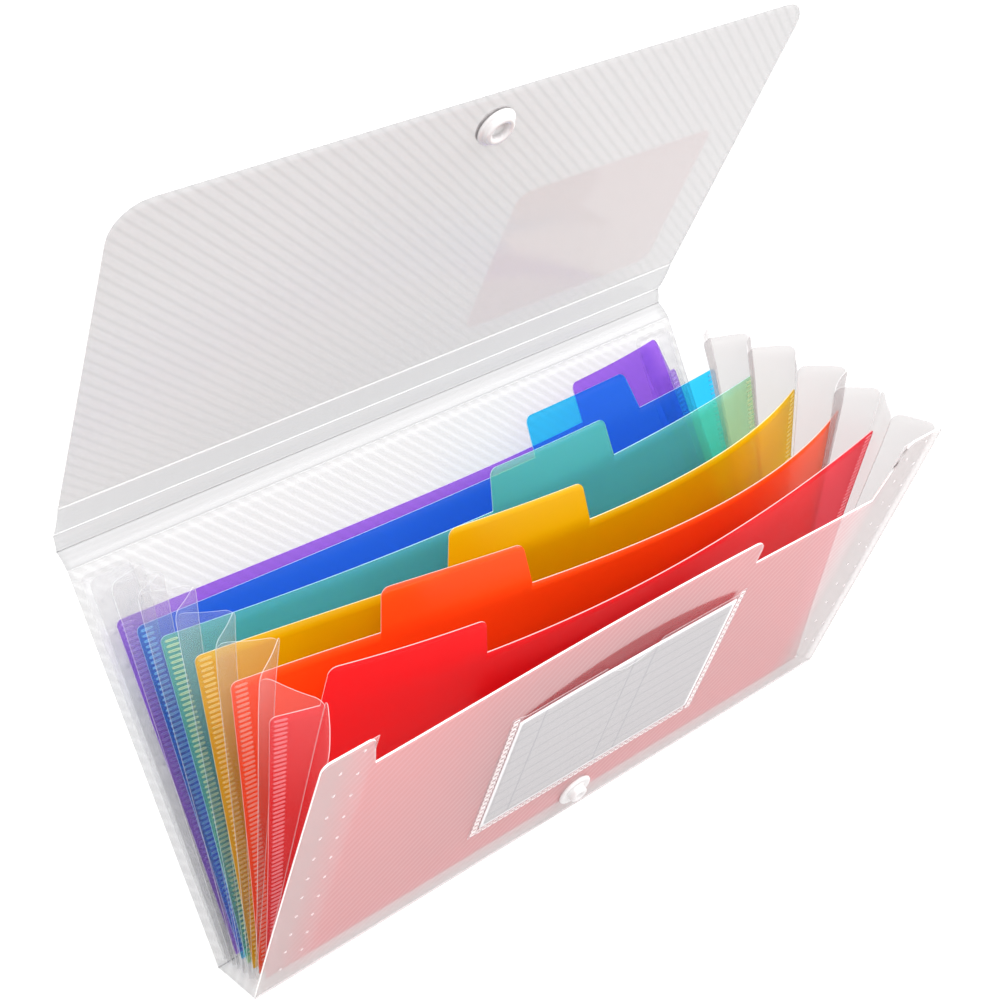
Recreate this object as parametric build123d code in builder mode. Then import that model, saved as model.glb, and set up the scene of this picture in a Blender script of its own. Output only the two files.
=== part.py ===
from build123d import *
import os
from math import sin, cos, radians, sqrt, hypot

os.makedirs("parts", exist_ok=True)

# cover sheet, scored into base, back, front, three fold strips and flap
cover_width = 260.0
cover_thickness = 0.6
base_depth = 20.3
crease_gap = 0.35
hole_clearance = 0.3
post_clearance = 0.1

# front panel outline
front_height = 131.0
back_rise = 3.7
front_edge_height = 116.5
front_dip_height = 105.0
left_ear_width = 20.7
right_ear_width = 22.4
ear_slope_share = 0.18
front_dip_width = 58.1
ear_corner = 3.0
step_corner = 1.6

# fold strips and flap
rear_strip_length = 7.0
mid_strip_length = 5.7
top_strip_length = 13.6
flap_length = 126.5
flap_corner = 12.0
window_width = 88.0
window_height = 65.0
window_start = 24.0
window_rise = 10.5
window_corner = 5.0
window_depth = 0.12

# lean of each wall from upright, back panel first, front panel last, in degrees
wall_angles = [21.0, 19.2, 14.1, 6.3, -1.8, -9.8, -16.8, -27.0]
rear_strip_angle = 46.0
mid_strip_angle = -1.2
flap_angle = -33.3
wall_names = ["back", "purple", "blue", "green", "yellow", "orange", "red", "front"]

# dividers, one raised tab each, stepped along from purple to red
divider_inset = 6.0
divider_thickness = 0.35
divider_foot = 3.0
divider_drop = 14.0
divider_corner = 2.0
tab_rise = 13.7
tab_width = 54.0
tab_corner = 3.0
divider_bows = [11.0, 11.8, 13.0, 12.0, 8.0, 4.0]
bow_skew_share = 0.6
bow_steps = 8
bow_margin = 8.0
first_tab_margin = 9.0
last_tab_margin = 13.5

# gusset sheet, folded in a zigzag at each end
gusset_thickness = 0.25
gusset_rise = 1.0
gusset_foot = 1.6
gusset_toe = 0.8
gusset_corner = 1.5
weld_margin = 3.6
weld_gap = 0.25
pleat_slack = 4.0
fold_inset = 2.5
fold_standoff = 0.15
outer_fold_gap = 1.0
inner_fold_gap = 0.6
fold_clearance = 0.05
weld_strip_width = 17.0

# press snap
stud_height = 13.5
stud_radius = 6.75
stud_flange = 1.2
stud_edge = 0.5
knob_radius = 3.5
knob_height = 2.4
knob_edge = 1.1
post_radius = 1.6
stud_cap_radius = 6.0
stud_cap_thickness = 0.9
socket_radius = 7.75
socket_thickness = 3.0
socket_edge = 0.8
socket_bore_depth = 2.2
socket_inset = 14.3
knob_clearance = 0.3
socket_cap_radius = 6.75
socket_cap_thickness = 1.0
cap_edge = 0.4

# card pocket and its card
pocket_width = 103.0
pocket_height = 66.0
pocket_rise = 25.5
pocket_corner = 2.0
film_thickness = 0.25
pocket_rim = 3.2
card_space = 0.7
card_thickness = 0.35
card_clearance = 0.6
card_height = 59.0
notch_chord = 25.0
notch_depth = 6.5

pocket_count = len(wall_angles) - 1
wall_pitch = base_depth / pocket_count
fold_level = cover_thickness / 2
half_cover = cover_thickness / 2
half_width = cover_width / 2
back_height = front_height + back_rise
gusset_height = front_height + gusset_rise
divider_height = front_height - divider_drop
divider_width = cover_width - 2 * divider_inset
tab_run = divider_width - first_tab_margin - last_tab_margin - tab_width
tab_pitch = tab_run / (pocket_count - 2)
first_tab_centre = divider_width / 2 - first_tab_margin - tab_width / 2
solids = []


def up_of(angle):
    return Vector(0, sin(radians(angle)), cos(radians(angle)))


def front_of(angle):
    return Vector(0, -cos(radians(angle)), sin(radians(angle)))


def wall_foot(index):
    return Vector(0, base_depth / 2 - index * wall_pitch, fold_level)


def sheet_plane(foot, angle):
    return Plane(origin=foot, x_dir=Vector(1, 0, 0), z_dir=front_of(angle))


def keep(solid, name):
    solid.label = name
    solids.append(solid)


back_angle = wall_angles[0]
front_angle = wall_angles[-1]
back_plane = sheet_plane(wall_foot(0), back_angle)
front_plane = sheet_plane(wall_foot(pocket_count), front_angle)
rear_fold = wall_foot(0) + up_of(back_angle) * back_height
mid_fold = rear_fold + up_of(rear_strip_angle) * rear_strip_length
top_fold = mid_fold + up_of(mid_strip_angle) * mid_strip_length
flap_fold = top_fold + up_of(flap_angle) * top_strip_length
flap_plane = sheet_plane(flap_fold, flap_angle)

# the base lies flat on the table
with BuildPart() as base_panel:
    with BuildSketch(Plane.XY):
        Rectangle(cover_width, base_depth - 2 * crease_gap)
    extrude(amount=cover_thickness)
keep(base_panel.part, "base_panel")

with BuildPart() as back_panel:
    with BuildSketch(back_plane):
        with Locations((0, back_height / 2)):
            Rectangle(cover_width, back_height - 2 * crease_gap)
    extrude(amount=half_cover, both=True)
keep(back_panel.part, "back_panel")

# the front has an ear at each side, a middle edge and a lower dip before the right ear
ear_left = -half_width + left_ear_width
ear_right = half_width - right_ear_width
dip_left = ear_right - front_dip_width
left_slant = (front_height - front_edge_height) * ear_slope_share
right_slant = (front_height - front_dip_height) * ear_slope_share
front_outline = [
    (-half_width, crease_gap),
    (half_width, crease_gap),
    (half_width, front_height),
    (ear_right + right_slant, front_height),
    (ear_right, front_dip_height),
    (dip_left, front_dip_height),
    (dip_left, front_edge_height),
    (ear_left, front_edge_height),
    (ear_left - left_slant, front_height),
    (-half_width, front_height),
]
with BuildPart() as front_panel:
    with BuildSketch(front_plane) as front_cut:
        with BuildLine():
            Polyline(*front_outline, close=True)
        make_face()
        levels = front_cut.vertices().group_by(Axis.Y)
        fillet(levels[-1], radius=ear_corner)
        steps = front_cut.vertices().group_by(Axis.Y)
        fillet(steps[1] + steps[2], radius=step_corner)
    extrude(amount=half_cover, both=True)
    with BuildSketch(front_plane):
        with Locations((0, stud_height)):
            Circle(post_radius + hole_clearance)
    extrude(amount=cover_thickness, both=True, mode=Mode.SUBTRACT)
keep(front_panel.part, "front_panel")


def fold_strip(foot, angle, length, name):
    with BuildPart() as strip:
        with BuildSketch(sheet_plane(foot, angle)):
            with Locations((0, length / 2)):
                Rectangle(cover_width, length - 2 * crease_gap)
        extrude(amount=half_cover, both=True)
    keep(strip.part, name)


fold_strip(rear_fold, rear_strip_angle, rear_strip_length, "fold_strip_rear")
fold_strip(mid_fold, mid_strip_angle, mid_strip_length, "fold_strip_mid")
fold_strip(top_fold, flap_angle, top_strip_length, "fold_strip_top")

# the flap has two rounded corners, a smooth pressed window and a hole for the snap
socket_level = flap_length - socket_inset
with BuildPart() as flap:
    with BuildSketch(flap_plane) as flap_cut:
        with Locations((0, (flap_length + crease_gap) / 2)):
            Rectangle(cover_width, flap_length - crease_gap)
        fillet(flap_cut.vertices().group_by(Axis.Y)[-1], radius=flap_corner)
    extrude(amount=half_cover, both=True)
    with BuildSketch(flap_plane.offset(half_cover)):
        with Locations((window_start + window_width / 2, window_rise + window_height / 2)):
            RectangleRounded(window_width, window_height, window_corner)
    extrude(amount=-window_depth, mode=Mode.SUBTRACT)
    with BuildSketch(flap_plane):
        with Locations((0, socket_level)):
            Circle(post_radius + hole_clearance)
    extrude(amount=cover_thickness, both=True, mode=Mode.SUBTRACT)
keep(flap.part, "flap")


# a slack divider arches forward: a straight foot line, an arched line above its tab, a ruled sheet between
def arched_face(plane, bow, crest):
    half = divider_width / 2
    reach = half + bow_margin
    rear = -divider_thickness / 2
    depth = bow * crest / divider_height
    arch = [plane.from_local_coords(Vector(-reach, crest, rear))]
    for step in range(bow_steps + 1):
        share = 2 * step / bow_steps - 1
        rise = depth * (1 - share**2) ** 2 * (1 + bow_skew_share * share)
        arch.append(plane.from_local_coords(Vector(share * half, crest, rear + rise)))
    arch.append(plane.from_local_coords(Vector(reach, crest, rear)))
    foot_line = Line(plane.from_local_coords(Vector(-reach, 0, rear)), plane.from_local_coords(Vector(reach, 0, rear)))
    top_line = Spline(*arch, tangents=[plane.x_dir, plane.x_dir])
    return Face.make_surface_from_curves(foot_line.edge(), top_line.edge())


def divider(index):
    plane = sheet_plane(wall_foot(index), wall_angles[index])
    bow = divider_bows[index - 1]
    centre = first_tab_centre - (index - 1) * tab_pitch
    side = divider_width / 2
    top = divider_height + tab_rise
    outline = [
        (-side, divider_foot),
        (side, divider_foot),
        (side, divider_height),
        (centre + tab_width / 2, divider_height),
        (centre + tab_width / 2, top),
        (centre - tab_width / 2, top),
        (centre - tab_width / 2, divider_height),
        (-side, divider_height),
    ]
    with BuildPart() as sheet:
        thicken(arched_face(plane, bow, top + bow_margin), amount=divider_thickness)
        with BuildSketch(plane.offset(-bow_margin)) as cut:
            with BuildLine():
                Polyline(*outline, close=True)
            make_face()
            fillet(cut.vertices().group_by(Axis.Y)[-1], radius=tab_corner)
            fillet(cut.vertices().group_by(Axis.Y)[1], radius=divider_corner)
        extrude(amount=2 * (bow + bow_margin), mode=Mode.INTERSECT)
    keep(sheet.part, "divider_" + wall_names[index])


for wall in range(1, pocket_count):
    divider(wall)


# each pocket end closes with two gusset faces that meet at an inner fold
def mouth(pocket):
    opening = radians(wall_angles[pocket - 1] - wall_angles[pocket])
    return wall_pitch + 2 * gusset_height * sin(opening / 2)


pleat_width = max(mouth(pocket) for pocket in range(1, pocket_count + 1)) / 2 + pleat_slack
weld_offset = divider_thickness / 2 + weld_gap + gusset_thickness / 2
panel_offset = half_cover + gusset_thickness + fold_standoff + gusset_thickness / 2


class Crease:
    # a straight fold line beside one wall, running up the wall from its foot
    def __init__(self, wall, foot):
        self.wall = wall
        self.foot = foot
        self.up = up_of(wall_angles[wall])
        self.top = foot + self.up * gusset_height


def wall_crease(wall, side, inset, offset):
    across = Vector(side * (half_width - inset), 0, 0)
    return Crease(wall, wall_foot(wall) + across + front_of(wall_angles[wall]) * offset)


def meeting(rear, rear_reach, front, front_reach, side):
    # the inner fold lies at both reaches from the two creases, on the inward side
    middle = (wall_angles[rear.wall] + wall_angles[front.wall]) / 2
    ahead = front_of(middle)
    inward = Vector(-side, 0, 0)
    step = front.top - rear.top
    run = step.dot(ahead)
    shift = step.dot(inward)
    span = hypot(run, shift)
    along = (rear_reach**2 - front_reach**2 + span**2) / (2 * span)
    off = sqrt(rear_reach**2 - along**2)
    go_ahead = (along * run - off * shift) / span
    go_inward = (along * shift + off * run) / span
    return rear.top + ahead * go_ahead + inward * go_inward + up_of(middle) * (step.dot(up_of(middle)) / 2)


def facing(crease, fold):
    reach = fold - crease.top
    return (reach - crease.up * reach.dot(crease.up)).normalized()


def inner_reach(crease, toward, other, other_toward, level):
    # how far the face reaches at one level before it meets the plane of the other face
    normal = other_toward.cross(other.up)
    start = crease.foot + crease.up * level
    return (other.foot - start).dot(normal) / toward.dot(normal)


def fold_room(toward, other_toward):
    # the sharper the fold, the further each face stops short of it
    closeness = toward.dot(other_toward)
    half_tangent = sqrt((1 - closeness) / (1 + closeness))
    return inner_fold_gap + (gusset_thickness / 2 + fold_clearance) / half_tangent


def gusset_face(crease, toward, outer, low, high, name):
    # the face narrows downward to a toe of one width
    toe = outer + gusset_toe
    climb = (gusset_height - gusset_foot) / (high - low)
    toe_level = max(gusset_foot, gusset_foot + (toe - low) * climb)
    outline = [
        (outer, toe_level),
        (low + (toe_level - gusset_foot) / climb, toe_level),
        (high, gusset_height),
        (outer, gusset_height),
    ]
    with BuildPart() as face:
        with BuildSketch(Plane(origin=crease.foot, x_dir=toward, z_dir=toward.cross(crease.up))) as cut:
            with BuildLine():
                Polyline(*outline, close=True)
            make_face()
            fillet(cut.vertices().group_by(Axis.Y)[-1], radius=gusset_corner)
        extrude(amount=gusset_thickness / 2, both=True)
    keep(face.part, name)


def gusset(side, side_name):
    ahead_crease = wall_crease(pocket_count, side, fold_inset, -panel_offset)
    for pocket in range(pocket_count, 0, -1):
        rear_wall = pocket - 1
        if rear_wall == 0:
            rear_crease = wall_crease(0, side, fold_inset, panel_offset)
            margin = 0
        else:
            rear_crease = wall_crease(rear_wall, side, divider_inset, weld_offset)
            margin = weld_margin
        fold = meeting(rear_crease, pleat_width - margin, ahead_crease, pleat_width, side)
        rear_toward = facing(rear_crease, fold)
        front_toward = facing(ahead_crease, fold)
        room = fold_room(rear_toward, front_toward)
        rear_ends = []
        front_ends = []
        for level in (gusset_foot, gusset_height):
            rear_ends.append(inner_reach(rear_crease, rear_toward, ahead_crease, front_toward, level) - room)
            front_ends.append(inner_reach(ahead_crease, front_toward, rear_crease, rear_toward, level) - room)
        outer = -margin if margin else outer_fold_gap
        stem = "gusset_" + side_name + "_" + str(pocket)
        gusset_face(rear_crease, rear_toward, outer, rear_ends[0], rear_ends[1], stem + "_rear")
        gusset_face(ahead_crease, front_toward, outer_fold_gap, front_ends[0], front_ends[1], stem + "_front")
        ahead_crease = Crease(rear_wall, rear_crease.foot - rear_toward * margin)


gusset(-1, "left")
gusset(1, "right")


def weld_strip(plane, offset, side, name):
    centre = side * (half_width - fold_inset - weld_strip_width / 2)
    with BuildPart() as strip:
        with BuildSketch(plane.offset(offset)):
            with Locations((centre, (gusset_foot + gusset_height) / 2)):
                Rectangle(weld_strip_width, gusset_height - gusset_foot)
        extrude(amount=gusset_thickness / 2, both=True)
    keep(strip.part, name)


strip_offset = half_cover + gusset_thickness / 2
weld_strip(back_plane, strip_offset, -1, "weld_strip_back_left")
weld_strip(back_plane, strip_offset, 1, "weld_strip_back_right")
weld_strip(front_plane, -strip_offset, -1, "weld_strip_front_left")
weld_strip(front_plane, -strip_offset, 1, "weld_strip_front_right")

# the stud rivets through the front panel into a flat cap inside
with BuildPart() as snap_stud:
    with BuildSketch(front_plane.offset(half_cover)):
        with Locations((0, stud_height)):
            Circle(stud_radius)
    extrude(amount=stud_flange)
    flange_top = snap_stud.faces().sort_by(Axis(front_plane.origin, front_plane.z_dir))[-1]
    chamfer(flange_top.edges(), length=stud_edge)
    with BuildSketch(front_plane.offset(half_cover + stud_flange)):
        with Locations((0, stud_height)):
            Circle(knob_radius)
    extrude(amount=knob_height)
    knob_top = snap_stud.faces().sort_by(Axis(front_plane.origin, front_plane.z_dir))[-1]
    chamfer(knob_top.edges(), length=knob_edge)
    with BuildSketch(front_plane.offset(half_cover)):
        with Locations((0, stud_height)):
            Circle(post_radius)
    extrude(amount=-cover_thickness - stud_cap_thickness)
keep(snap_stud.part, "snap_stud")

with BuildPart() as snap_stud_cap:
    with BuildSketch(front_plane.offset(-half_cover)):
        with Locations((0, stud_height)):
            Circle(stud_cap_radius)
            Circle(post_radius + post_clearance, mode=Mode.SUBTRACT)
    extrude(amount=-stud_cap_thickness)
    cap_back = snap_stud_cap.faces().sort_by(Axis(front_plane.origin, front_plane.z_dir))[0]
    chamfer(cap_back.edges().sort_by(SortBy.RADIUS)[-1], length=cap_edge)
keep(snap_stud_cap.part, "snap_stud_cap")

# the socket takes the knob and rivets through the flap to a cap outside
with BuildPart() as snap_socket:
    with BuildSketch(flap_plane.offset(half_cover)):
        with Locations((0, socket_level)):
            Circle(socket_radius)
    extrude(amount=socket_thickness)
    rim = snap_socket.faces().sort_by(Axis(flap_plane.origin, flap_plane.z_dir))[-1]
    chamfer(rim.edges(), length=socket_edge)
    with BuildSketch(flap_plane.offset(half_cover + socket_thickness)):
        with Locations((0, socket_level)):
            Circle(knob_radius + knob_clearance)
    extrude(amount=-socket_bore_depth, mode=Mode.SUBTRACT)
    with BuildSketch(flap_plane.offset(half_cover)):
        with Locations((0, socket_level)):
            Circle(post_radius + post_clearance)
    extrude(amount=socket_thickness, mode=Mode.SUBTRACT)
keep(snap_socket.part, "snap_socket")

with BuildPart() as snap_socket_cap:
    with BuildSketch(flap_plane.offset(-half_cover)):
        with Locations((0, socket_level)):
            Circle(socket_cap_radius)
    extrude(amount=-socket_cap_thickness)
    cap_front = snap_socket_cap.faces().sort_by(Axis(flap_plane.origin, flap_plane.z_dir))[0]
    chamfer(cap_front.edges(), length=cap_edge)
    with BuildSketch(flap_plane.offset(-half_cover)):
        with Locations((0, socket_level)):
            Circle(post_radius)
    extrude(amount=cover_thickness + socket_thickness - socket_bore_depth)
keep(snap_socket_cap.part, "snap_socket_cap")

# the film pocket is welded along three sides and open at the top, with a thumb notch
pocket_middle = pocket_rise + pocket_height / 2
pocket_top = pocket_rise + pocket_height
notch_radius = (notch_depth**2 + (notch_chord / 2) ** 2) / (2 * notch_depth)
notch_centre = pocket_top - notch_depth + notch_radius
with BuildPart() as card_pocket:
    with BuildSketch(front_plane.offset(half_cover)):
        with Locations((0, pocket_middle)):
            RectangleRounded(pocket_width, pocket_height, pocket_corner)
        with Locations((0, pocket_middle + pocket_rim)):
            Rectangle(pocket_width - 2 * pocket_rim, pocket_height, mode=Mode.SUBTRACT)
    extrude(amount=card_space)
    with BuildSketch(front_plane.offset(half_cover + card_space)):
        with Locations((0, pocket_middle)):
            RectangleRounded(pocket_width, pocket_height, pocket_corner)
        with Locations((0, notch_centre)):
            Circle(notch_radius, mode=Mode.SUBTRACT)
    extrude(amount=film_thickness)
keep(card_pocket.part, "card_pocket")

card_width = pocket_width - 2 * pocket_rim - 2 * card_clearance
card_foot = pocket_rise + pocket_rim + card_clearance
with BuildPart() as index_card:
    with BuildSketch(front_plane.offset(half_cover + card_space / 2)):
        with Locations((0, card_foot + card_height / 2)):
            Rectangle(card_width, card_height)
    extrude(amount=card_thickness / 2, both=True)
keep(index_card.part, "index_card")

for solid in solids:
    export_step(solid, "parts/" + solid.label + ".step")
print(len(solids), "pieces, pleat width", round(pleat_width, 2))
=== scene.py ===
import bpy
import numpy as np
from mathutils import Matrix


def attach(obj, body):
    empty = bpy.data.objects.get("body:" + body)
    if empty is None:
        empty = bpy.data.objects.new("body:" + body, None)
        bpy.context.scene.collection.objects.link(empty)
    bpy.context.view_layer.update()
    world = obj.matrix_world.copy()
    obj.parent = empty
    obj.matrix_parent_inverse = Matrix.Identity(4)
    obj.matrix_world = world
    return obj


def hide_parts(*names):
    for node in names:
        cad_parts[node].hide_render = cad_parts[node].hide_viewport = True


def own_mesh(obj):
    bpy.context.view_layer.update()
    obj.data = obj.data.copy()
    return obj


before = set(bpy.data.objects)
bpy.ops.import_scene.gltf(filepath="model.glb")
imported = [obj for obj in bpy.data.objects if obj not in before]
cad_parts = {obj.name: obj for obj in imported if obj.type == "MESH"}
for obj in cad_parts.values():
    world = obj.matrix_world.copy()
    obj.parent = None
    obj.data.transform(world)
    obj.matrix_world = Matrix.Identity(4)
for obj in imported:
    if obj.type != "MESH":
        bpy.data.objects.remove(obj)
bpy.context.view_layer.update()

mm = 0.001
scene = bpy.context.scene

# what the whole folder shares, in millimetres and degrees
folder = {
    "width": 260.0,
    "depth": 20.3,
    "coverThick": 0.6,
    "walls": ["back", "purple", "blue", "green", "yellow", "orange", "red", "front"],
    "leans": [21.0, 19.2, 14.1, 6.3, -1.8, -9.8, -16.8, -27.0],
    "frontHeight": 131.0,
    "backHeight": 134.7,
}
halfWidth = folder["width"] / 2
halfCover = folder["coverThick"] / 2
frontWall = len(folder["walls"]) - 1
wallPitch = folder["depth"] / frontWall
sides = ((-1, "left"), (1, "right"))


# sheet frame: foot point, across, up the sheet and out of its front face
def sheetFrame(foot, lean):
    a = np.radians(lean)
    across = np.array([1.0, 0.0, 0.0])
    up = np.array([0.0, np.sin(a), np.cos(a)])
    out = np.array([0.0, -np.cos(a), np.sin(a)])
    return {"foot": np.asarray(foot, float), "across": across, "up": up, "out": out}


def wallFoot(index):
    return np.array([0.0, folder["depth"] / 2 - index * wallPitch, halfCover])


def wallFrame(index):
    return sheetFrame(wallFoot(index), folder["leans"][index])


# point = foot + across times u + up times v + out times lift, all arrays
def place(sheet, flat, lift=0.0):
    lift = np.broadcast_to(np.asarray(lift, float), (len(flat),))
    return (sheet["foot"] + np.outer(flat[:, 0], sheet["across"])
            + np.outer(flat[:, 1], sheet["up"]) + np.outer(lift, sheet["out"]))


# quads of a grid of vertex numbers, row by row
def gridQuads(ids):
    corners = [ids[:-1, :-1], ids[:-1, 1:], ids[1:, 1:], ids[1:, :-1]]
    return np.stack(corners, axis=-1).reshape(-1, 4)


# how far a rounded corner falls below the edge: radius minus the height of its arc
def cornerDrop(distance, radius):
    inside = np.clip(radius - distance, 0.0, radius)
    return radius - np.sqrt(np.maximum(radius**2 - inside**2, 0.0))


# stations from a to b, evenly spaced, with more of them in the rounded ends
def stations(a, b, count, radius):
    arcSteps = 7
    even = np.linspace(a, b, count)
    turn = radius * (1 - np.cos(np.linspace(0, np.pi / 2, arcSteps)))
    return np.unique(np.round(np.concatenate([even, a + turn, b - turn]), 4))


# rows of u and v, either of which may be one number
def pairs(u, v):
    return np.column_stack(np.broadcast_arrays(u, v))


# flat sheet: a foot edge, then tiers that climb from a stretch of an earlier top edge to their own
def stackTiers(footX, footY, tiers):
    flat = pairs(footX, footY)
    tops = {"foot": np.arange(len(footX))}
    quads = []
    for name, on, span, topX, topY, rowCount in tiers:
        low = tops[on][span]
        start = flat[low]
        share = np.linspace(0, 1, rowCount + 1)[1:, None, None]
        rows = start + (pairs(topX, topY) - start) * share
        ids = len(flat) + np.arange(rows.shape[0] * rows.shape[1]).reshape(rows.shape[:2])
        quads.append(gridQuads(np.vstack([low[None], ids])))
        flat = np.vstack([flat, rows.reshape(-1, 2)])
        tops[name] = ids[-1]
    return flat, np.vstack(quads)


# plain sheet: one tier from the foot edge to the top edge
def oneTier(footX, footY, topX, topY, rowCount):
    return stackTiers(footX, footY, [("top", "foot", slice(None), topX, topY, rowCount)])


# mesh from points in millimetres, with the flat sheet kept as a UV map in metres
def makePiece(name, points, faces, flat=None):
    mesh = bpy.data.meshes.new(name)
    mesh.from_pydata((np.asarray(points) * mm).tolist(), [], [list(map(int, f)) for f in faces])
    mesh.update()
    if flat is not None:
        corner = np.zeros(len(mesh.loops), np.int32)
        mesh.loops.foreach_get("vertex_index", corner)
        layer = mesh.uv_layers.new(name="flat")
        layer.data.foreach_set("uv", ((flat + [halfWidth, 0.0]) * mm)[corner].astype(np.float32).ravel())
    mesh.polygons.foreach_set("use_smooth", np.ones(len(mesh.polygons), bool))
    piece = bpy.data.objects.new(name, mesh)
    scene.collection.objects.link(piece)
    return piece


# a piece with a gauge, half to each side; its cut edge takes the second material if it has one
def makeSheet(name, points, quads, flat, thick, cutEdge=True):
    piece = makePiece(name, points, quads, flat)
    solid = piece.modifiers.new("thickness", "SOLIDIFY")
    solid.thickness = thick * mm
    solid.offset = 0.0
    solid.use_even_offset = False
    solid.material_offset_rim = 1 if cutEdge else 0
    return piece


def settle(piece, body, slot, materials, *nodes):
    for material in materials:
        piece.data.materials.append(material)
    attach(piece, body)
    if nodes:
        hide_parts(*nodes)


# a profile of radius and height turned about the sheet's own normal at one point, closed at both poles
def turned(name, sheet, centre, profile, segments=48):
    profile = np.asarray(profile, float)
    angle = np.linspace(0, 2 * np.pi, segments, endpoint=False)
    rings = profile[1:-1]
    u = centre[0] + np.outer(rings[:, 0], np.cos(angle)).ravel()
    v = centre[1] + np.outer(rings[:, 0], np.sin(angle)).ravel()
    lift = np.repeat(rings[:, 1], segments)
    poles = np.array([centre, centre], float)
    flat = np.vstack([pairs(u, v), poles])
    points = place(sheet, flat, np.concatenate([lift, [profile[0, 1], profile[-1, 1]]]))
    ids = np.arange(len(rings) * segments).reshape(len(rings), segments)
    ids = np.hstack([ids, ids[:, :1]])
    first, last = len(flat) - 2, len(flat) - 1
    capLow = np.column_stack([ids[0, 1:], ids[0, :-1], np.full(segments, first)])
    capHigh = np.column_stack([ids[-1, :-1], ids[-1, 1:], np.full(segments, last)])
    return makePiece(name, points, gridQuads(ids).tolist() + capLow.tolist() + capHigh.tolist(), flat)


# one small closed relief repeated at many centres: template of du, dv, height; way -1 puts it on the rear face
def scatter(name, sheet, centres, template, faces, lift, way=1):
    count, size = len(centres), len(template)
    flat = (centres[:, None, :] + template[None, :, :2]).reshape(-1, 2)
    height = way * np.tile(template[:, 2], count) + lift(flat)
    shift = (np.arange(count) * size)[:, None, None]
    every = (np.asarray(faces)[:, ::way][None] + shift).reshape(-1, np.shape(faces)[1])
    return makePiece(name, place(sheet, flat, height), every, flat)


# weld ring: a low ridge carried round an oblong, long across and short along, and back under itself
def ringTemplate(long, short, ridge, height, segments=10, squareness=0.55):
    angle = np.linspace(0, 2 * np.pi, segments, endpoint=False)
    across = np.array([ridge, ridge / 3, -ridge / 3, -ridge]) / 2
    rise = height * np.array([0.0, 1.0, 1.0, 0.0])
    du = np.sign(np.cos(angle)) * np.abs(np.cos(angle)) ** squareness
    dv = np.sign(np.sin(angle)) * np.abs(np.sin(angle)) ** squareness
    u = du[None] * (long / 2 + across[:, None])
    v = dv[None] * (short / 2 + across[:, None])
    template = np.column_stack([u.ravel(), v.ravel(), np.repeat(rise, segments)])
    ids = np.arange(u.size).reshape(u.shape)
    ids = np.vstack([ids, ids[:1]])
    return template, gridQuads(np.hstack([ids, ids[:, :1]]))


# weld dot: a shallow dome of two rings, with a point on top and one under it
def dotTemplate(radius, height, segments=8):
    shoulder = (0.65, 0.75 * height)  # share of the radius, and how high
    angle = np.linspace(0, 2 * np.pi, segments, endpoint=False)
    ring = pairs(np.cos(angle), np.sin(angle))
    rings = [np.column_stack([ring * radius * share, np.full(segments, rise)])
             for share, rise in ((1.0, 0.0), shoulder)]
    template = np.vstack(rings + [[[0, 0, height], [0, 0, 0]]])
    first = np.arange(segments)
    after = np.roll(first, -1)
    top, under = 2 * segments, 2 * segments + 1
    faces = [(first, after, after + segments), (first, after + segments, first + segments),
             (first + segments, after + segments, np.full(segments, top)), (after, first, np.full(segments, under))]
    return template, np.vstack([np.column_stack(corners) for corners in faces])


# a socket takes a link or a plain value
def give(tree, target, value):
    if hasattr(value, "is_linked"):
        tree.links.new(value, target)
    else:
        target.default_value = value


def node(tree, kind, values=None, **settings):
    made = tree.nodes.new(kind)
    for key, value in settings.items():
        setattr(made, key, value)
    for key, value in (values or {}).items():
        give(tree, made.inputs[key], value)
    return made


def calc(tree, operation, *values, clamp=False):
    return node(tree, "ShaderNodeMath", dict(enumerate(values)), operation=operation, use_clamp=clamp).outputs[0]


# group inputs are plain numbers, except Flat, which takes the sheet's UV map
def newGroup(name, inputs, outputs):
    group = bpy.data.node_groups.new(name, "ShaderNodeTree")
    for label, value in inputs.items():
        kind = "NodeSocketVector" if label == "Flat" else "NodeSocketFloat"
        socket = group.interface.new_socket(name=label, in_out="INPUT", socket_type=kind)
        if value is not None:
            socket.default_value = value
    for label in outputs:
        group.interface.new_socket(name=label, in_out="OUTPUT", socket_type="NodeSocketFloat")
    return group, group.nodes.new("NodeGroupInput").outputs, group.nodes.new("NodeGroupOutput").inputs


# fine embossed lines: distance along one direction, wrapped at the pitch, is high near each line
def makeLineGroup():
    group, given, result = newGroup("embossedLines", {"Flat": None, "Turn": 0.785, "Pitch": 3.0, "Width": 0.3},
                                    ["Line"])
    parts = node(group, "ShaderNodeSeparateXYZ", {0: given["Flat"]}).outputs
    east = calc(group, "MULTIPLY", parts["X"], calc(group, "COSINE", given["Turn"]))
    along = calc(group, "MULTIPLY_ADD", parts["Y"], calc(group, "SINE", given["Turn"]), east)
    steps = calc(group, "DIVIDE", calc(group, "DIVIDE", along, mm), given["Pitch"])
    away = calc(group, "MULTIPLY", calc(group, "PINGPONG", steps, 0.5), given["Pitch"])
    ramp = node(group, "ShaderNodeMapRange", {"Value": away, "From Min": 0.0, "From Max": given["Width"],
                                              "To Min": 1.0, "To Max": 0.0}, interpolation_type="SMOOTHSTEP")
    group.links.new(ramp.outputs["Result"], result["Line"])
    return group


# frost: two sizes of noise, a cloud and a grain, about one half
def makeFrostGroup():
    group, given, result = newGroup("frost", {"Cloud Size": 30.0, "Grain Size": 900.0}, ["Cloud", "Grain"])
    where = node(group, "ShaderNodeTexCoord").outputs["Object"]
    for label, detail in (("Cloud", 1.0), ("Grain", 2.0)):
        noise = node(group, "ShaderNodeTexNoise", {"Vector": where, "Scale": given[label + " Size"], "Detail": detail})
        group.links.new(noise.outputs[0], result[label])
    return group


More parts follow.
